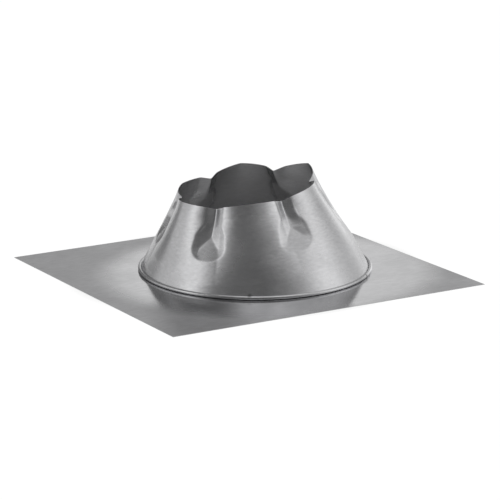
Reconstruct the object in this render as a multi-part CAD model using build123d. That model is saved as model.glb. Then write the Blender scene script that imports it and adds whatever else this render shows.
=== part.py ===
from build123d import *
import math
import os

# Roof flashing for a round chimney pipe, in millimetres, +Z up.
# A square sheet lies on the roof, and a tapered collar of the same sheet stands
# over an oval hole in it. The origin is the middle of the underside of the sheet.

# Driving dimensions of the square sheet
PLATE_SIDE = 560.0
SHEET = 0.7

# Driving dimensions of the collar's foot, an oval where its wall meets the roof
FOOT_LONG = 402.6
FOOT_SHORT = 371.6
FOOT_TURN = 75.75
FOOT_X = 25.0
FOOT_Y = 7.0

# Driving dimensions of the collar's rim, square to a plumb pipe on a pitched roof
RIM_HEIGHT = 134.4
RIM_X = 6.0
RIM_Y = 1.8
ROOF_PITCH = 6.5
TOP_RADIUS = 126.0
PIPE_RADIUS = 103.3
EDGE_SLOPE = 31.5

# Driving dimensions of the six dimples that centre the pipe, with depths below the rim.
# Each dimple leans a little from its line down the wall, in degrees at the bulb's start,
# and the shoulders of some grooves lie a little to one side, by a length at the rim.
DIMPLES = 6
FIRST_DIMPLE = 33.6
DIMPLE_LEANS = (0, 0, 0, 0, -2.1, 0)
GROOVE_SKEWS = (0, 0, 0, 2.0, -2.0, 0)
GROOVE_HALF = 15.0
CREASE_HALF = 0.8
NECK_LENGTH = 18.0
BULB_START = 38.0
BULB_DEPTH = 9.5
BULB_HALF = 29.5
BULB_TOP_SHARE = 0.9
BULB_WIDEST = 0.44
FLOOR_MOST = 0.96
DIMPLE_LENGTH = 70.0

# How far the wall is drawn in beside each dimple at the rim, as a share of its radius,
# the depths between which that fades away, and how far each lobe stands out again
DRAW_SHARES = (0.095, 0.095, 0.12, 0.09, 0.09, 0.1)
DRAW_START = 10.0
DRAW_END = 102.0
DRAW_POWER = 1.1
SHOULDER_ANGLE = 7.2
LOBE_ROUNDS = (0.3, 0.3, 1.0, 1.0, 1.0, 0.3)
LOBE_END = 80.0
LOBE_SHARES = (0.012, -0.052, -0.05, -0.018, -0.05, 0.032)

# Driving dimensions of the bead rolled round the foot, and of the sheet's lip
BEAD_RADIUS = 3.0
BEAD_SEAT = 0.1
BEAD_TURN = 307.0
LIP_HEIGHT = 5.0
LIP_CLEARANCE = 0.3

# How finely the curved forms are divided
LOBE_STEPS = 4
BEAD_STEPS = 12
EDGE_ROUNDS = 12
FIRST_LEVEL = 6.0
BULB_SHARES = (0.16, 0.32, 0.46, 0.6, 0.74, 0.86, 0.94, 1.0)
LAST_SHARE = 0.99

# Values that follow from the sizes above
PITCH = math.radians(ROOF_PITCH)
SLOPE = math.radians(EDGE_SLOPE)
RIM_PLANE = Plane(
    origin=(RIM_X, RIM_Y, RIM_HEIGHT),
    x_dir=(math.cos(PITCH), 0, math.sin(PITCH)),
    z_dir=(-math.sin(PITCH), 0, math.cos(PITCH)),
)
SECTOR = 360.0 / DIMPLES
WALL_RUN = ((FOOT_LONG + FOOT_SHORT) / 4 - TOP_RADIUS) / RIM_HEIGHT
WALL_INSET = SHEET * math.hypot(1, WALL_RUN)
BEAD_MIDDLE = SHEET + BEAD_SEAT + BEAD_RADIUS
BULB_SIDE_RUN = BULB_TOP_SHARE * BULB_HALF / BULB_DEPTH
BEAD_FIRST = 180 + math.degrees(math.atan(WALL_RUN))
LOBE_POINTS = 2 * LOBE_STEPS - 1
SECTOR_POINTS = 4 + LOBE_POINTS


def middle_angle(index):
    """The angle of a dimple's line round the rim's axis."""
    return FIRST_DIMPLE + index * SECTOR


def foot_point(angle):
    """A point of the foot's oval on the ground, seen from the rim's frame."""
    turn = math.radians(angle - FOOT_TURN)
    across = math.hypot(FOOT_SHORT * math.cos(turn), FOOT_LONG * math.sin(turn))
    radius = FOOT_LONG * FOOT_SHORT / 2 / across
    x = FOOT_X + radius * math.cos(math.radians(angle))
    y = FOOT_Y + radius * math.sin(math.radians(angle))
    return RIM_PLANE.to_local_coords(Vector(x, y, 0))


def top_point(angle):
    """A point of the plain collar level with the middle of the rim."""
    return Vector(TOP_RADIUS, 0, 0).rotate(Axis.Z, angle)


def plain_point(angle, level):
    """A point of the plain collar at a level of the rim's frame, before it is pressed."""
    top = top_point(angle)
    foot = foot_point(angle)
    return top + (foot - top) * (level / foot.Z)


def draw_in(index, level):
    """The share by which the wall is drawn in beside a dimple at a level."""
    share = min(max((level + DRAW_END) / (DRAW_END - DRAW_START), 0), 1)
    return DRAW_SHARES[index] * share**DRAW_POWER


def wall_point(angle, level):
    """A point of the wall between the dimples, drawn in and standing out as each lobe does."""
    turns = (angle - FIRST_DIMPLE) / SECTOR
    sector = math.floor(turns) % DIMPLES
    lobe = LOBE_SHARES[sector] * max(1 + level / LOBE_END, 0)
    nearest = math.floor(turns + 0.5)
    off = abs(angle - middle_angle(nearest))
    share = max(off - SHOULDER_ANGLE, 0) / (SECTOR / 2 - SHOULDER_ANGLE)
    rise = share + LOBE_ROUNDS[sector] * (math.sin(math.pi / 2 * share) - share)
    scale = 1 - draw_in(nearest % DIMPLES, level) * (1 - rise) + lobe * rise
    plain = plain_point(angle, level)
    return Vector(plain.X * scale, plain.Y * scale, level)


def dimple_form(index, level):
    """Half a dimple's width, half its floor's width and its depth at a level."""
    groove_depth = TOP_RADIUS * (1 - DRAW_SHARES[index]) - PIPE_RADIUS
    if level > -BULB_START:
        share = max((-level - NECK_LENGTH) / (BULB_START - NECK_LENGTH), 0)
        ease = share * share * (3 - 2 * share)
        half = GROOVE_HALF + (BULB_TOP_SHARE * BULB_HALF - GROOVE_HALF) * ease
        return half, CREASE_HALF, groove_depth + (BULB_DEPTH - groove_depth) * ease
    share = min((-level - BULB_START) / (DIMPLE_LENGTH - BULB_START), LAST_SHARE)
    if share < BULB_WIDEST:
        half = BULB_HALF * (BULB_TOP_SHARE + (1 - BULB_TOP_SHARE) * share / BULB_WIDEST)
    else:
        half = BULB_HALF * math.sqrt(1 - ((share - BULB_WIDEST) / (1 - BULB_WIDEST)) ** 2)
    depth = BULB_DEPTH * (1 - share) if share < LAST_SHARE else 0
    floor = min(half - BULB_SIDE_RUN * depth, FLOOR_MOST * half)
    return half, max(floor, CREASE_HALF), depth


def dimple_lines(index, level):
    """The angles of a dimple's first shoulder, its middle and its second shoulder, and how far
    its floor's edges are from its middle, with its depth."""
    half, floor, depth = dimple_form(index % DIMPLES, level)
    middle = middle_angle(index)
    ridge = wall_point(middle, level)
    radius = math.hypot(ridge.X, ridge.Y)
    line = middle + DIMPLE_LEANS[index % DIMPLES] * max(-level / BULB_START, 0)
    skew = GROOVE_SKEWS[index % DIMPLES] * max(1 + level / BULB_START, 0)
    before = line + math.degrees((skew - half) / radius)
    after = line + math.degrees((skew + half) / radius)
    return before, line, after, math.degrees(floor / radius), depth


def outline_plan(level):
    """The angles of an outline's points and the pressing at each, as depth and direction:
    over each dimple its two shoulders and its floor's two edges, then over the lobe."""
    plan = []
    for index in range(DIMPLES):
        before, line, after, floor, depth = dimple_lines(index, level)
        following = dimple_lines(index + 1, level)[0]
        plan += [(before, 0, line), (line - floor, depth, line)]
        plan += [(line + floor, depth, line), (after, 0, line)]
        corner = middle_angle(index) + SECTOR / 2
        for start, end in ((after, corner), (corner, following)):
            for step in range(LOBE_STEPS):
                plan.append((start + (end - start) * step / LOBE_STEPS, 0, line))
        del plan[-2 * LOBE_STEPS]
    return plan


def pressed_point(spot, level):
    """The point of the outer skin at one spot of a plan, at a level."""
    angle, depth, line = spot
    return wall_point(angle, level) - Vector(depth, 0, 0).rotate(Axis.Z, line)


def level_points(level):
    """The points of the wall's outline at one level of the rim's frame."""
    return [pressed_point(spot, level) for spot in outline_plan(level)]


def edge_points(fall):
    """The points of the rim's cut edge, on a wide cone round the pipe, some way down it."""
    plan = outline_plan(0)
    levels = [0] * len(plan)
    for _ in range(EDGE_ROUNDS):
        points = [pressed_point(spot, level) for spot, level in zip(plan, levels)]
        reaches = [math.hypot(point.X, point.Y) - PIPE_RADIUS for point in points]
        steps = zip(levels, reaches)
        levels = [(level + reach * math.tan(SLOPE) - fall) / 2 for level, reach in steps]
    return points


def flat_points(height):
    """The points of the wall's outline at one height over the ground, below the dimples."""
    points = []
    for angle, _, _ in outline_plan(-DRAW_END):
        top = RIM_PLANE.from_local_coords(top_point(angle))
        foot = RIM_PLANE.from_local_coords(foot_point(angle))
        points.append(foot + (top - foot) * (height / top.Z))
    return points


def inset(points, distance):
    """The same outline moved inwards by a distance, corner by corner, in its own plane."""
    moved = []
    for index, point in enumerate(points):
        before = point - points[index - 1]
        after = points[(index + 1) % len(points)] - point
        side_before = Vector(-before.Y, before.X, 0).normalized()
        side_after = Vector(-after.Y, after.X, 0).normalized()
        middle = side_before + side_after
        moved.append(point + middle * (distance / (1 + side_before.dot(side_after))))
    return moved


def outline(points, frame):
    """A closed wire through an outline's points: lines in the dimples, curves over the lobes."""
    placed = [frame.from_local_coords(point) for point in points]
    placed.append(placed[0])
    edges = []
    for index in range(DIMPLES):
        start = index * SECTOR_POINTS
        for corner in range(start, start + 3):
            edges.append(Line(placed[corner], placed[corner + 1]))
        edges.append(Spline(*placed[start + 3 : start + SECTOR_POINTS + 1]))
    return Wire(edges)


def bead_outline(turn, radius):
    """The outline of the rolled bead at one turn of its roll, on its outer or its inner side."""
    start = BEAD_MIDDLE + BEAD_RADIUS * math.sin(math.radians(BEAD_FIRST))
    wall = inset(flat_points(start), WALL_INSET)
    out = radius * math.cos(math.radians(turn)) - BEAD_RADIUS * math.cos(math.radians(BEAD_FIRST))
    height = BEAD_MIDDLE + radius * math.sin(math.radians(turn))
    points = [Vector(point.X, point.Y, height) for point in inset(wall, -out)]
    return outline(points, Plane.XY)


def make_collar():
    """The collar as one bent sheet: its two sides are lofted, then joined along their edges."""
    levels = [-FIRST_LEVEL, -NECK_LENGTH, -(NECK_LENGTH + BULB_START) / 2, -BULB_START]
    below = DIMPLE_LENGTH - BULB_START
    levels += [-BULB_START - below * share for share in BULB_SHARES]
    levels += [-(DIMPLE_LENGTH + DRAW_END) / 2, -DRAW_END]
    turns = [BEAD_FIRST + BEAD_TURN * step / BEAD_STEPS for step in range(BEAD_STEPS + 1)]
    fall = SHEET * math.sin(SLOPE)
    shells = []
    ends = []
    for side_inset, side_fall, roll in ((0, 0, BEAD_RADIUS - SHEET), (WALL_INSET, fall, BEAD_RADIUS)):
        rim = outline(inset(edge_points(side_fall), side_inset), RIM_PLANE)
        rows = [rim]
        for level in levels:
            rows.append(outline(inset(level_points(level), side_inset), RIM_PLANE))
        rows += [bead_outline(turn, roll) for turn in turns]
        shells.append(Shell.make_loft(rows, ruled=True))
        ends.append((rim, rows[-1]))
    shells.append(Shell.make_loft([ends[0][0], ends[1][0]], ruled=True))
    shells.append(Shell.make_loft([ends[0][1], ends[1][1]], ruled=True))
    faces = [face for shell in shells for face in shell.faces()]
    return Solid(Shell(faces))


def make_plate():
    """The square sheet, with its hole turned up into a lip that stands inside the collar."""
    plate = Box(PLATE_SIDE, PLATE_SIDE, SHEET, align=(Align.CENTER, Align.CENTER, Align.MIN))
    lip_inset = WALL_INSET + LIP_CLEARANCE
    outside = [inset(flat_points(height), lip_inset) for height in (0, LIP_HEIGHT)]
    heights = (-SHEET, LIP_HEIGHT + SHEET)
    inside = [inset(flat_points(height), lip_inset + WALL_INSET) for height in heights]
    lip = Solid.make_loft([outline(points, Plane.XY) for points in outside], ruled=True)
    hole = Solid.make_loft([outline(points, Plane.XY) for points in inside], ruled=True)
    return plate + lip - hole


os.makedirs("parts", exist_ok=True)
export_step(make_plate(), "parts/base_plate.step")
export_step(make_collar(), "parts/collar.step")
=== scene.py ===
# %% [markdown]
# # A roof flashing for a round chimney pipe
#
# The real object is two pieces of galvanised sheet: a flat square that lies on the
# roof, and a tapered collar that stands on it. This lesson dresses the measured
# solids of both: first the camera and a small photo studio, then the zinc finish,
# then the flat sheet, and last the collar with its six pressed dimples.

import bpy
import numpy as np
from mathutils import Matrix, Vector


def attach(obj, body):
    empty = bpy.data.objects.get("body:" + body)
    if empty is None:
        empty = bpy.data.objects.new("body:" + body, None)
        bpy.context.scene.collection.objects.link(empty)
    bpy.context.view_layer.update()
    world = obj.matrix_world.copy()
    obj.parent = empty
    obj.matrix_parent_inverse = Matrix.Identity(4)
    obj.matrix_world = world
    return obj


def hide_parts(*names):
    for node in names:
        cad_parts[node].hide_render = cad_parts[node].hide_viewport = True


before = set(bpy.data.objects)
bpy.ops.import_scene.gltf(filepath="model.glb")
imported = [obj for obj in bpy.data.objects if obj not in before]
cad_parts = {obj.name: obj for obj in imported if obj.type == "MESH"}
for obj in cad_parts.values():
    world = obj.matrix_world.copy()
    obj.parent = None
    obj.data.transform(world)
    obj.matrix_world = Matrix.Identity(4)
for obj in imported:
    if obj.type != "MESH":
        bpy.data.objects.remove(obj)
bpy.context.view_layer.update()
scene = bpy.context.scene
MM = 0.001

# %% [markdown]
# ## The camera
#
# A product picture is usually taken from far away with a long lens, so that the
# square keeps nearly parallel sides. A camera can be pointed with a constraint,
# but its roll is then lost, so here its three axes are worked out from two angles
# and a small roll, and set as one matrix.

# %% Point the camera
CAMERA_PLACE = (-2.071, -3.680, 1.115)
CAMERA_AROUND = np.radians(-29.51)
CAMERA_DOWN = np.radians(14.35)
CAMERA_ROLL = np.radians(0.77)
CAMERA_LENS = 193.68
CAMERA_SIGHT = 100.0

level_right = Vector((np.cos(CAMERA_AROUND), np.sin(CAMERA_AROUND), 0))
back = Vector((
    np.sin(CAMERA_AROUND) * np.cos(CAMERA_DOWN),
    -np.cos(CAMERA_AROUND) * np.cos(CAMERA_DOWN),
    np.sin(CAMERA_DOWN),
))
level_up = back.cross(level_right)
right = level_right * np.cos(CAMERA_ROLL) - level_up * np.sin(CAMERA_ROLL)
up = back.cross(right)

camera = bpy.data.objects.new("camera", bpy.data.cameras.new("camera"))
camera.data.lens = CAMERA_LENS
camera.data.clip_end = CAMERA_SIGHT
turn = Matrix((right, up, back)).transposed()
camera.matrix_world = Matrix.Translation(CAMERA_PLACE) @ turn.to_4x4()
scene.collection.objects.link(camera)
scene.camera = camera
print("camera at", CAMERA_PLACE, "lens", CAMERA_LENS)

# %% [markdown]
# ## A small studio
#
# Bare metal has hardly a colour of its own: it shows the room. So the room gets as
# much care as the metal. It could be built from lamps and cards, but a world that
# is painted by direction is smoother: walls of light on either side, a dark gap on
# the camera's side, strips and gaps behind the object, and a ceiling that is dark
# on the left. It stays where it is when the camera walks round the object.

# %% Helpers for node trees
MIX_FIRST, MIX_SECOND, MIX_RESULT = 6, 7, 2

scene.view_settings.view_transform = "Standard"


def node_tree(owner):
    """Empties a material's or the world's node tree and gives it back."""
    owner.use_nodes = True
    owner.node_tree.nodes.clear()
    return owner.node_tree


def add(tree, kind, **settings):
    """Adds a node, and sets its own settings and its inputs by name."""
    node = tree.nodes.new(kind)
    for name, value in settings.items():
        if hasattr(node, name):
            setattr(node, name, value)
        else:
            node.inputs[name.replace("_", " ")].default_value = value
    return node


def grey(level):
    """A colour with the same brightness in all its channels."""
    return (level, level, level, 1)


def grey_ramp(tree, stops, low, high):
    """A colour ramp of greys through a list of values and brightnesses."""
    node = add(tree, "ShaderNodeValToRGB")
    elements = node.color_ramp.elements
    while len(elements) < len(stops):
        elements.new(1)
    for element, (value, level) in zip(elements, stops):
        element.position = (value - low) / (high - low)
        element.color = grey(level)
    return node


def along(tree, place, direction, low, high):
    """How far a view goes along a direction, as a share between two values: the dot
    product of both, less the low value, over the step to the high one."""
    part = add(tree, "ShaderNodeVectorMath", operation="DOT_PRODUCT")
    part.inputs[1].default_value = direction
    share = add(tree, "ShaderNodeMapRange", From_Min=low, From_Max=high)
    tree.links.new(place.outputs["Generated"], part.inputs[0])
    tree.links.new(part.outputs["Value"], share.inputs["Value"])
    return share.outputs["Result"]


def mix_colours(tree, first, second, **settings):
    """Mixes two colours, and gives back the result and the mixing node, whose colour
    sockets have numbers because several of them share a name."""
    blend = add(tree, "ShaderNodeMix", data_type="RGBA", **settings)
    tree.links.new(first, blend.inputs[MIX_FIRST])
    tree.links.new(second, blend.inputs[MIX_SECOND])
    return blend.outputs[MIX_RESULT], blend


print("view transform:", scene.view_settings.view_transform)

# %% [markdown]
# The room's two pictures are rows of stops. The walls go all the way round, by the
# angle in degrees from the camera's side, and the ceiling goes from the left at -1
# to the right at 1. A dark patch high up at the back then keeps the far sheet grey.

# %% The room's brightness
WALLS = [
    (-180, 0.90), (-170, 0.42), (-162, 0.18), (-150, 0.17), (-127, 0.24), (-119, 0.66),
    (-108, 0.68), (-96, 0.66), (-88, 0.86), (-79, 1.32), (-71, 1.14), (-63, 0.50),
    (-54, 0.24), (-42, 0.16), (0, 0.12), (20, 0.17), (33, 0.26), (44, 0.33),
    (54, 0.44), (62, 0.66), (72, 0.92), (83, 1.17), (92, 1.14), (102, 0.92),
    (112, 0.75), (122, 0.61), (132, 0.68), (144, 0.92), (157, 1.40), (166, 1.05),
    (173, 0.58), (180, 0.90),
]
CEILING = [
    (-0.6, 0.17), (-0.45, 0.17), (-0.33, 0.42), (-0.14, 0.86), (0, 0.86),
    (0.14, 0.74), (0.26, 1.05), (0.42, 0.66), (0.6, 0.64),
]
WALL_TOP = (0.55, 0.75)
WALL_LEAN = 0.2
BACK_HEIGHT = (0.31, 0.42)
BACK_SPAN = (0.45, 0.85)
BACK_DARK = 0.22
print("room:", len(WALLS), "stops all the way round,", len(CEILING), "overhead")

# %% Paint the room
# Both shares of the view go from 0 to 1, so the middle of the room is halfway.
HALFWAY = (0.5, 0.5, 0)

to_camera = Vector((np.sin(CAMERA_AROUND), -np.cos(CAMERA_AROUND), 0))
overhead = Vector((0, 0, 1))
world = bpy.data.worlds.new("studio")
scene.world = world
tree = node_tree(world)
link = tree.links.new
place = add(tree, "ShaderNodeTexCoord")
ahead = along(tree, place, to_camera, -1, 1)
aside = along(tree, place, level_right, -1, 1)
lifted = along(tree, place, overhead - to_camera * WALL_LEAN, *WALL_TOP)
raised = along(tree, place, overhead, *BACK_HEIGHT)
behind = along(tree, place, -to_camera, *BACK_SPAN)

flat = add(tree, "ShaderNodeCombineXYZ")
centred = add(tree, "ShaderNodeVectorMath", operation="SUBTRACT")
centred.inputs[1].default_value = HALFWAY
around = add(tree, "ShaderNodeTexGradient", gradient_type="RADIAL")
walls = grey_ramp(tree, WALLS, -180, 180)
ceiling = grey_ramp(tree, CEILING, -1, 1)
patch = add(tree, "ShaderNodeMath", operation="MULTIPLY")
dark = add(tree, "ShaderNodeRGB")
dark.outputs["Color"].default_value = grey(BACK_DARK)
glow = add(tree, "ShaderNodeBackground")
out = add(tree, "ShaderNodeOutputWorld")
link(ahead, flat.inputs["X"])
link(aside, flat.inputs["Y"])
link(flat.outputs["Vector"], centred.inputs[0])
link(centred.outputs["Vector"], around.inputs["Vector"])
link(around.outputs["Fac"], walls.inputs["Fac"])
link(aside, ceiling.inputs["Fac"])
room, ceiling_mix = mix_colours(tree, walls.outputs["Color"], ceiling.outputs["Color"])
link(lifted, ceiling_mix.inputs["Factor"])
shaded, patch_mix = mix_colours(tree, room, dark.outputs["Color"])
link(raised, patch.inputs[0])
link(behind, patch.inputs[1])
link(patch.outputs["Value"], patch_mix.inputs["Factor"])
link(shaded, glow.inputs["Color"])
link(glow.outputs["Background"], out.inputs["Surface"])
print("world:", world.name, "with", len(tree.nodes), "nodes")

# %% [markdown]
# ## White ground, soft shadow
#
# The floor is matt and pale, and most of its brightness is a glow of its own: the
# camera sees it, and so do the reflections in bare metal, but it lights nothing.
# The matt share keeps the shadow under the edges. Under the collar the glow fades
# out, because no light gets there in a real room either. For the metal it comes in
# slowly with the distance, as if the ground near the object were in its soft shade.

# %% The floor
FLOOR_SIDE = 40.0

side = FLOOR_SIDE / 2
corners = [(-side, -side, 0), (side, -side, 0), (side, side, 0), (-side, side, 0)]
floor_mesh = bpy.data.meshes.new("floor")
floor_mesh.from_pydata(corners, [], [(0, 1, 2, 3)])
floor = bpy.data.objects.new("floor", floor_mesh)
scene.collection.objects.link(floor)
print("floor:", FLOOR_SIDE, "m")

# %% The floor's paint
FLOOR_WHITE = 0.9
FLOOR_GLOW = 0.88
FLOOR_STRENGTH = 1.1
CAMERA_REACH = (0.2, 0.3)
METAL_REACH = (1.2, 6.0)


def glow_share(tree, reach, rays, names, span):
    """The glow for some kinds of ray, which comes in between two distances: the kind,
    as 0 or 1, times the distance's share of the span and the whole glow."""
    near, far = span
    seen = add(tree, "ShaderNodeMath", operation="MAXIMUM")
    share = add(
        tree, "ShaderNodeMapRange", From_Min=near, From_Max=far, To_Max=FLOOR_GLOW
    )
    part = add(tree, "ShaderNodeMath", operation="MULTIPLY")
    for number, name in enumerate(names):
        tree.links.new(rays.outputs[name], seen.inputs[number])
    tree.links.new(reach.outputs["Value"], share.inputs["Value"])
    tree.links.new(seen.outputs["Value"], part.inputs[0])
    tree.links.new(share.outputs["Result"], part.inputs[1])
    return part.outputs["Value"]


paint = bpy.data.materials.new("pale_floor")
tree = node_tree(paint)
link = tree.links.new
matt = add(tree, "ShaderNodeBsdfDiffuse", Color=grey(FLOOR_WHITE))
bright = add(tree, "ShaderNodeEmission", Strength=FLOOR_STRENGTH)
rays = add(tree, "ShaderNodeLightPath")
place = add(tree, "ShaderNodeTexCoord")
reach = add(tree, "ShaderNodeVectorMath", operation="LENGTH")
link(place.outputs["Object"], reach.inputs[0])
metal_rays = ["Is Glossy Ray", "Is Transmission Ray"]
for_camera = glow_share(tree, reach, rays, ["Is Camera Ray"], CAMERA_REACH)
for_metal = glow_share(tree, reach, rays, metal_rays, METAL_REACH)
part = add(tree, "ShaderNodeMath", operation="MAXIMUM")
mix = add(tree, "ShaderNodeMixShader")
out = add(tree, "ShaderNodeOutputMaterial")
link(for_camera, part.inputs[0])
link(for_metal, part.inputs[1])
link(part.outputs["Value"], mix.inputs["Fac"])
link(matt.outputs["BSDF"], mix.inputs[1])
link(bright.outputs["Emission"], mix.inputs[2])
link(mix.outputs["Shader"], out.inputs["Surface"])
floor_mesh.materials.append(paint)
print("paint:", paint.name)

# %% [markdown]
# ## The zinc finish
#
# Galvanised sheet of this kind is a satin grey with no crystals to be seen. What
# the eye takes for metal is a soft reflection, broken up by a very fine grain that
# the rollers left. A picture of real sheet would repeat and stretch, so the grain
# is noise, squeezed more across the rolling direction than along it: it tints the
# metal and tilts its surface a little. Two slower noises give the cloudy patches
# and the slight waves. The flat sheet is smoothest round the collar's foot, where
# it mirrors the collar, and rougher further out. The collar's colour gets two small
# spots of painted shade: one just over the bead in front, where the wall meets it,
# and one in the gap where the bead's seam ends.


# %% Helpers for the zinc
MULTIPLIED = {"blend_type": "MULTIPLY", "Factor": 1.0}


def distance(tree, place, middle):
    """The straight distance from a middle, at each point of a piece."""
    reach = add(tree, "ShaderNodeVectorMath", operation="DISTANCE")
    reach.inputs[1].default_value = middle
    tree.links.new(place.outputs["Object"], reach.inputs[0])
    return reach.outputs["Value"]


def paint_shade_spot(tree, place, colour, mark):
    """Paints shade into a colour: multiplies it by a grey that is darkest at a shade
    spot's middle and is gone beyond its radius."""
    middle, radius, level = mark
    fade = add(tree, "ShaderNodeMapRange", From_Max=radius, To_Min=level)
    fade.interpolation_type = "SMOOTHSTEP"
    tree.links.new(distance(tree, place, middle), fade.inputs["Value"])
    return mix_colours(tree, colour, fade.outputs["Result"], **MULTIPLIED)[0]


def value_range(tree, span):
    """A node that turns 0 to 1 into a span of values."""
    low, high = span
    return add(tree, "ShaderNodeMapRange", To_Min=low, To_Max=high)


def bump(tree, size):
    """A node that tilts the surface by a height's slope, with a strength and a depth."""
    strength, depth = size
    return add(tree, "ShaderNodeBump", Strength=strength, Distance=depth)


print("colours are multiplied with", MULTIPLIED)

# %% Mix the zinc
ZINC_TINT = (0.6, 0.6, 0.61, 1)
GRAIN_SHADES = (0.82, 1.14)
PATCH_SHADES = (0.80, 1.18)
PATCH_SCALE, WAVE_SCALE = 14.0, 5.0
GRAIN_BUMP = (0.2, 0.0004)
WAVE_BUMP = (0.35, 0.004)


def zinc(name, grain_scale, roughness, polished=None, marks=()):
    """Satin zinc, whose grain follows from how the noise is squeezed along each axis.
    Its roughness goes from one value to another with its patches, or with the distance
    from a polished place. Each spot of painted shade then darkens its colour."""
    material = bpy.data.materials.new(name)
    tree = node_tree(material)
    place = add(tree, "ShaderNodeTexCoord")
    squeeze = add(tree, "ShaderNodeMapping")
    squeeze.inputs["Scale"].default_value = grain_scale
    grain = add(tree, "ShaderNodeTexNoise", Scale=1.0, Detail=3.0, Roughness=0.6)
    patches = add(tree, "ShaderNodeTexNoise", Scale=PATCH_SCALE, Detail=3.0, Roughness=0.55)
    waves = add(tree, "ShaderNodeTexNoise", Scale=WAVE_SCALE, Detail=1.0)
    shade = value_range(tree, GRAIN_SHADES)
    cloud = value_range(tree, PATCH_SHADES)
    rough = value_range(tree, roughness)
    tint = add(tree, "ShaderNodeRGB")
    tint.outputs["Color"].default_value = ZINC_TINT
    both = add(tree, "ShaderNodeMath", operation="MULTIPLY")
    fine = bump(tree, GRAIN_BUMP)
    slow = bump(tree, WAVE_BUMP)
    metal = add(tree, "ShaderNodeBsdfPrincipled", Metallic=1.0)
    out = add(tree, "ShaderNodeOutputMaterial")
    link = tree.links.new
    link(place.outputs["Object"], squeeze.inputs["Vector"])
    link(squeeze.outputs["Vector"], grain.inputs["Vector"])
    link(place.outputs["Object"], patches.inputs["Vector"])
    link(place.outputs["Object"], waves.inputs["Vector"])
    link(grain.outputs["Fac"], shade.inputs["Value"])
    link(patches.outputs["Fac"], cloud.inputs["Value"])
    link(shade.outputs["Result"], both.inputs[0])
    link(cloud.outputs["Result"], both.inputs[1])
    shown, _ = mix_colours(tree, tint.outputs["Color"], both.outputs["Value"], **MULTIPLIED)
    # Spots of painted shade darken the colour.
    for mark in marks:
        shown = paint_shade_spot(tree, place, shown, mark)
    link(shown, metal.inputs["Base Color"])
    source = patches.outputs["Fac"]
    if polished:
        middle, near, far = polished
        rough.inputs["From Min"].default_value = near
        rough.inputs["From Max"].default_value = far
        source = distance(tree, place, middle)
    link(source, rough.inputs["Value"])
    link(rough.outputs["Result"], metal.inputs["Roughness"])
    link(waves.outputs["Fac"], slow.inputs["Height"])
    link(grain.outputs["Fac"], fine.inputs["Height"])
    link(slow.outputs["Normal"], fine.inputs["Normal"])
    link(fine.outputs["Normal"], metal.inputs["Normal"])
    link(metal.outputs["BSDF"], out.inputs["Surface"])
    return material


# %% Two kinds of zinc
SHEET_GRAIN, SHEET_ROUGHNESS = (60, 150, 60), (0.12, 0.42)
COLLAR_GRAIN, COLLAR_ROUGHNESS = (110, 110, 330), (0.2, 0.32)

# The polished place has a middle, a distance up to which it is smooth, and one from
# which the sheet is rough. A spot of painted shade has a middle, a radius and its
# darkest grey.
POLISHED = ((0.032, -0.03, 0), 0.236, 0.295)
# Painted shade on the collar: one spot just over the bead in front, one in the gap where
# the bead's seam ends.
PAINTED_SHADE_SPOTS = [
    ((-0.0815, -0.1615, 0.0075), 0.006, 0.15),
    ((0.142, -0.1482, 0.0045), 0.0045, 0.1),
]

sheet_zinc = zinc("sheet_zinc", SHEET_GRAIN, SHEET_ROUGHNESS, POLISHED)
# The collar's zinc also gets the spots of painted shade.
collar_zinc_with_shade = zinc("collar_zinc_with_shade", COLLAR_GRAIN, COLLAR_ROUGHNESS, marks=PAINTED_SHADE_SPOTS)
print("finishes:", sheet_zinc.name, collar_zinc_with_shade.name)

# %% [markdown]
# ## The flat sheet
#
# The square has plain edges, and its measured solid already has every form that
# the real one shows. It only gets its finish, and keeps its own mesh.

# %% Finish the sheet
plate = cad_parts["base_plate"]
for spot in plate.material_slots:
    spot.material = sheet_zinc

# %% [markdown]
# ## The collar
#
# The collar is one sheet bent into a tapered tube. Its rim is round before the six
# dimples are pressed in, and square to a plumb pipe; its foot is an oval on the
# roof. A modeller could cut the dimples with tools, but pressed metal never has a
# cut edge, so the wall is a surface of two parameters instead: an angle round the
# rim's axis and a level below the rim. Everything is in millimetres until the end.

# %% Sizes of the collar
# The oval foot on the roof, and the rim that is square to the plumb pipe
SHEET = 0.7
FOOT_LONG, FOOT_SHORT, FOOT_TURN = 402.6, 371.6, 75.75
FOOT_X, FOOT_Y = 25.0, 7.0
RIM = np.array([6.0, 1.8, 134.4])
PITCH = np.radians(6.5)
TOP_RADIUS, PIPE_RADIUS = 126.0, 103.3
EDGE_SLOPE = np.radians(31.5)

# The six dimples, with their depths below the rim. Each one leans a little from its
# line down the wall, and the shoulders of some grooves lie a little to one side.
DIMPLES, FIRST_DIMPLE = 6, 33.6
DIMPLE_LEANS = np.array([0, 0, 0, 0, -2.1, 0])
GROOVE_SKEWS = np.array([0, 0, 0, 2.0, -2.0, 0])
GROOVE_HALF, CREASE_HALF, NECK_LENGTH = 15.0, 0.8, 18.0
BULB_START, BULB_DEPTH, BULB_HALF, DIMPLE_LENGTH = 38.0, 9.5, 29.5, 70.0
BULB_TOP_SHARE, BULB_WIDEST, FLOOR_MOST, LAST_SHARE = 0.9, 0.44, 0.96, 0.999
BULB_SIDE_RUN = BULB_TOP_SHARE * BULB_HALF / BULB_DEPTH

# How far the wall is drawn in beside each dimple, and each lobe stands out again
DRAW_SHARES = np.array([0.095, 0.095, 0.12, 0.09, 0.09, 0.1])
DRAW_START, DRAW_END, DRAW_POWER = 10.0, 102.0, 1.1
SHOULDER_ANGLE, LOBE_END = 7.2, 80.0
LOBE_ROUNDS = np.array([0.3, 0.3, 1.0, 1.0, 1.0, 0.3])
LOBE_SHARES = np.array([0.012, -0.052, -0.05, -0.018, -0.05, 0.032])

# The bead round the foot, and how softly the dimples' edges are rounded
BEAD_RADIUS, BEAD_SEAT, BEAD_TURN = 3.0, 0.1, 307.0
FOLD_ROUND = 2.2

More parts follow.
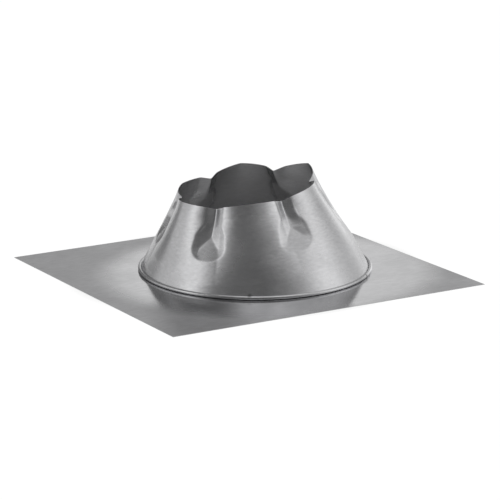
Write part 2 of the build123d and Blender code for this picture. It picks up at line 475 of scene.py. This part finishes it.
# What follows from the sizes
RIM_AXES = np.array([
    [np.cos(PITCH), 0, np.sin(PITCH)],
    [0, 1, 0],
    [-np.sin(PITCH), 0, np.cos(PITCH)],
])
SECTOR = 360 / DIMPLES
WALL_RUN = ((FOOT_LONG + FOOT_SHORT) / 4 - TOP_RADIUS) / RIM[2]
WALL_INSET = SHEET * np.hypot(1, WALL_RUN)
BEAD_MIDDLE = SHEET + BEAD_SEAT + BEAD_RADIUS
BEAD_FIRST = 180 + np.degrees(np.arctan(WALL_RUN))
print("the dimples' outer skin touches a circle of", round(2 * PIPE_RADIUS, 1), "mm")


# %% The plain wall
def round_the_axis(radius, angle):
    """Points at a radius and an angle in degrees, level with the middle of the rim."""
    turned = np.radians(angle)
    return np.stack([radius * np.cos(turned), radius * np.sin(turned), 0 * turned], -1)


def foot_points(angle):
    """The foot's oval on the roof, in the rim's tilted frame: half the product of its
    axes, over the axes' lengths weighed by the sine and cosine of the angle, gives its
    radius."""
    turned = np.radians(angle - FOOT_TURN)
    across = np.hypot(FOOT_SHORT * np.cos(turned), FOOT_LONG * np.sin(turned))
    oval = round_the_axis(FOOT_LONG * FOOT_SHORT / 2 / across, angle)
    return (oval + [FOOT_X, FOOT_Y, 0] - RIM) @ RIM_AXES.T


def to_roof(points):
    """Turns points of the rim's tilted frame into the roof's frame: each of the rim's
    axes times its coordinate, summed, plus the middle of the rim."""
    return points @ RIM_AXES + RIM


def plain_points(angle, level):
    """Straight lines from the rim's circle to the foot's oval: the rim's point plus the
    step to the foot's, times the level's share of the foot's level."""
    top = round_the_axis(TOP_RADIUS, angle)
    foot = foot_points(angle)
    return top + (foot - top) * (level / foot[..., 2])[..., None]


middles = FIRST_DIMPLE + SECTOR * np.arange(DIMPLES)
print("foot radii:", np.hypot(*foot_points(middles)[:, :2].T).round(1))

# %% [markdown]
# ## The dimples
#
# On the real collar a tool pressed each dimple in, so that the six of them centre
# the pipe: a narrow groove at the rim widens into a bulb, like a keyhole upside down.
# It could be sculpted, but then every change to the collar would be work again. So
# its width and its depth are formulas of the level, and the wall is pushed towards
# the axis by that depth wherever a point lies within that width.


# %% A dimple's form
def soft_step(share, rounding):
    """Climbs from 0 to 1 as the share does, with both corners rounded: the difference of
    two halved sums of a number and the root of its square plus the rounding's square."""
    low = (share + np.sqrt(share ** 2 + rounding ** 2)) / 2
    high = (share - 1 + np.sqrt((share - 1) ** 2 + rounding ** 2)) / 2
    return low - high


def dimple_form(level, groove_depth):
    """Half the width, half the floor's width and the depth of a dimple at each level: a
    narrow groove down from the rim, which widens into a bulb with a pointed floor."""
    down = -level
    neck = np.clip((down - NECK_LENGTH) / (BULB_START - NECK_LENGTH), 0, 1)
    ease = neck * neck * (3 - 2 * neck)
    share = np.clip((down - BULB_START) / (DIMPLE_LENGTH - BULB_START), 0, LAST_SHARE)
    upper = BULB_TOP_SHARE + (1 - BULB_TOP_SHARE) * share / BULB_WIDEST
    fall = np.clip((share - BULB_WIDEST) / (1 - BULB_WIDEST), 0, 1)
    bulb = BULB_HALF * np.where(share < BULB_WIDEST, upper, np.sqrt(1 - fall ** 2))
    half = GROOVE_HALF + (BULB_TOP_SHARE * BULB_HALF - GROOVE_HALF) * ease
    half = np.where(down > BULB_START, bulb, half)
    depth = groove_depth + (BULB_DEPTH - groove_depth) * ease
    depth = np.where(down > BULB_START, BULB_DEPTH * (1 - share), depth)
    floor = np.minimum(half - BULB_SIDE_RUN * depth, FLOOR_MOST * half)
    floor = np.where(down > BULB_START, np.maximum(floor, CREASE_HALF), CREASE_HALF)
    return half, floor, depth


first_depth = TOP_RADIUS * (1 - DRAW_SHARES[0]) - PIPE_RADIUS
print("depth of the first groove at the rim:", round(first_depth, 2), "mm")


# %% The pressed wall
def wall_points(angle, level):
    """The outer skin. The round wall is drawn in beside the dimples, less and less down to
    a level, and each lobe between two dimples stands out again on part of a sine. Then
    each dimple moves the wall straight towards the axis by its depth."""
    sector = np.floor((angle - FIRST_DIMPLE) / SECTOR).astype(int) % DIMPLES
    nearest = np.floor((angle - FIRST_DIMPLE) / SECTOR + 0.5)
    middle = FIRST_DIMPLE + nearest * SECTOR
    dimple = nearest.astype(int) % DIMPLES
    plain = plain_points(angle, level)
    share = np.clip((level + DRAW_END) / (DRAW_END - DRAW_START), 0, 1)
    drawn = DRAW_SHARES[dimple] * share ** DRAW_POWER
    past = np.abs(angle - middle) - SHOULDER_ANGLE
    rise = np.clip(past / (SECTOR / 2 - SHOULDER_ANGLE), 0, 1)
    rise = rise + LOBE_ROUNDS[sector] * (np.sin(np.pi / 2 * rise) - rise)
    lobe = LOBE_SHARES[sector] * np.clip(1 + level / LOBE_END, 0, None)
    scale = 1 - drawn * (1 - rise) + lobe * rise
    groove_depth = TOP_RADIUS * (1 - DRAW_SHARES[dimple]) - PIPE_RADIUS
    half, floor, depth = dimple_form(level, groove_depth)
    lean = DIMPLE_LEANS[dimple] * np.clip(-level / BULB_START, 0, None)
    radius = np.hypot(plain[..., 0], plain[..., 1]) * (1 - drawn)
    aside = np.radians(angle - middle - lean) * radius
    skew = GROOVE_SKEWS[dimple] * np.clip(1 + level / BULB_START, 0, None)
    shoulder = half + skew * np.sign(aside)
    side = shoulder - floor
    pressed = depth * soft_step((shoulder - np.abs(aside)) / side, FOLD_ROUND / side)
    shaped = plain * scale[..., None]
    shaped[..., 2] = level
    return shaped - round_the_axis(pressed, middle + lean)


rim_radii = np.hypot(*wall_points(middles, 0 * middles)[:, :2].T)
print("rim radii at the dimples' middles:", rim_radii.round(1))

# %% [markdown]
# ## From the formulas to a closed skin
#
# A wall of one skin shows nothing when it is cut or seen from inside, so the sheet
# has two, joined by the rim's cut edge and by the end of the rolled bead. All the
# outlines are stacked as rows: down the outside, round the bead, and back up the
# inside, and the last row meets the first.


# %% Helpers for the rows
EDGE_ROUNDS = 12


def inset(rows, depth):
    """Moves each outline inwards, square to the line between a point's two neighbours."""
    chord = np.roll(rows, -1, -2) - np.roll(rows, 1, -2)
    length = np.hypot(chord[..., 0], chord[..., 1])
    inward = np.stack([-chord[..., 1] / length, chord[..., 0] / length, 0 * length], -1)
    return rows + inward * depth


def edge_points(angle, fall):
    """The rim's edge, where the wall meets a wide cone that opens upwards: the level is
    the radius past the pipe times the cone's rise, less a fall. It is found by going
    halfway to it, round after round."""
    level = 0 * angle
    for _ in range(EDGE_ROUNDS):
        points = wall_points(angle, level)
        reach = np.hypot(points[..., 0], points[..., 1]) - PIPE_RADIUS
        level = (level + reach * np.tan(EDGE_SLOPE) - fall) / 2
    return points


def level_wall(angle, height):
    """The plain wall's outline at one height over the roof: the foot plus the step to
    the rim, times the height's share of the rim's."""
    top = to_roof(round_the_axis(TOP_RADIUS, angle))
    foot = to_roof(foot_points(angle))
    return foot + (top - foot) * (height / top[..., 2:])


rim_heights = to_roof(edge_points(middles, 0))[:, 2]
print("rim heights at the dimples' middles:", rim_heights.round(1))

# %% Stack the rows
COLUMNS = 540
WALL_ROWS = 64
SKIRT_ROWS = 5
BEAD_ROWS = 22
CROWDING = 0.6

# The columns stand closest together at the middle of each dimple.
spread = np.linspace(-1, 1, COLUMNS // DIMPLES, endpoint=False)
crowded = (CROWDING * spread + (1 - CROWDING) * spread ** 3) * SECTOR / 2
angle = (FIRST_DIMPLE + crowded + SECTOR * np.arange(DIMPLES)[:, None]).ravel()


def skin(depth, fall, roll):
    """One skin of the sheet, moved inwards by a depth: rows down the wall from the rim,
    straight on to the bead, and round the bead's circle to its end."""
    edge = edge_points(angle, fall)
    share = np.linspace(0, 1, WALL_ROWS)[:, None]
    level = edge[:, 2] * (1 - share) - DRAW_END * share
    wall = to_roof(inset(wall_points(angle + 0 * level, level), depth))
    start = BEAD_MIDDLE + BEAD_RADIUS * np.sin(np.radians(BEAD_FIRST))
    seat = inset(level_wall(angle, start), WALL_INSET)
    turns = np.radians(BEAD_FIRST + np.linspace(0, BEAD_TURN, BEAD_ROWS))
    rolled = []
    for turn in turns:
        outward = roll * np.cos(turn) - BEAD_RADIUS * np.cos(turns[0])
        row = inset(seat, -outward)
        row[:, 2] = BEAD_MIDDLE + roll * np.sin(turn)
        rolled.append(row)
    skirt_share = np.linspace(0, 1, SKIRT_ROWS + 2)[1:-1, None, None]
    skirt = wall[-1] + (rolled[0] - wall[-1]) * skirt_share
    return np.concatenate([wall, skirt, rolled])


outside = skin(0, 0, BEAD_RADIUS - SHEET)
inside = skin(WALL_INSET, SHEET * np.sin(EDGE_SLOPE), BEAD_RADIUS)
rows = np.concatenate([outside, inside[::-1]]) * MM
print("rows and columns:", rows.shape[:2])


# %% Make the mesh
SHARP_ANGLE = np.radians(40)


def closed_skin(name, rows):
    """Joins each row to the next and the last to the first, with the faces outwards. The
    volume is a sixth of the sum over all triangles of one corner times the cross product
    of the other two, and is negative while the faces point inwards."""
    count, columns = rows.shape[:2]
    row, column = np.meshgrid(np.arange(count), np.arange(columns), indexing="ij")
    low = row * columns
    high = (row + 1) % count * columns
    after = (column + 1) % columns
    loop = [low + column, high + column, high + after, low + after]
    faces = np.stack(loop, -1).reshape(-1, 4)
    mesh = bpy.data.meshes.new(name)
    mesh.vertices.add(count * columns)
    mesh.vertices.foreach_set("co", rows.astype(np.float32).ravel())
    mesh.loops.add(faces.size)
    mesh.loops.foreach_set("vertex_index", faces.astype(np.int32).ravel())
    mesh.polygons.add(len(faces))
    mesh.polygons.foreach_set("loop_start", np.arange(0, faces.size, 4, dtype=np.int32))
    mesh.update(calc_edges=True)
    points = rows.reshape(-1, 3)[faces]
    volume = 0
    for second, third in ((1, 2), (2, 3)):
        crossed = np.cross(points[:, second], points[:, third])
        volume += np.einsum("ij,ij->i", points[:, 0], crossed).sum()
    if volume < 0:
        mesh.flip_normals()
    mesh.shade_smooth()
    mesh.set_sharp_from_angle(angle=SHARP_ANGLE)
    piece = bpy.data.objects.new(name, mesh)
    scene.collection.objects.link(piece)
    return piece, abs(volume) / 6


collar, volume = closed_skin("collar_sheet", rows)
collar.data.materials.append(collar_zinc_with_shade)
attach(collar, "root")
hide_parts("collar")
print("collar:", len(collar.data.polygons), "faces,", round(volume / MM ** 3), "cubic mm")
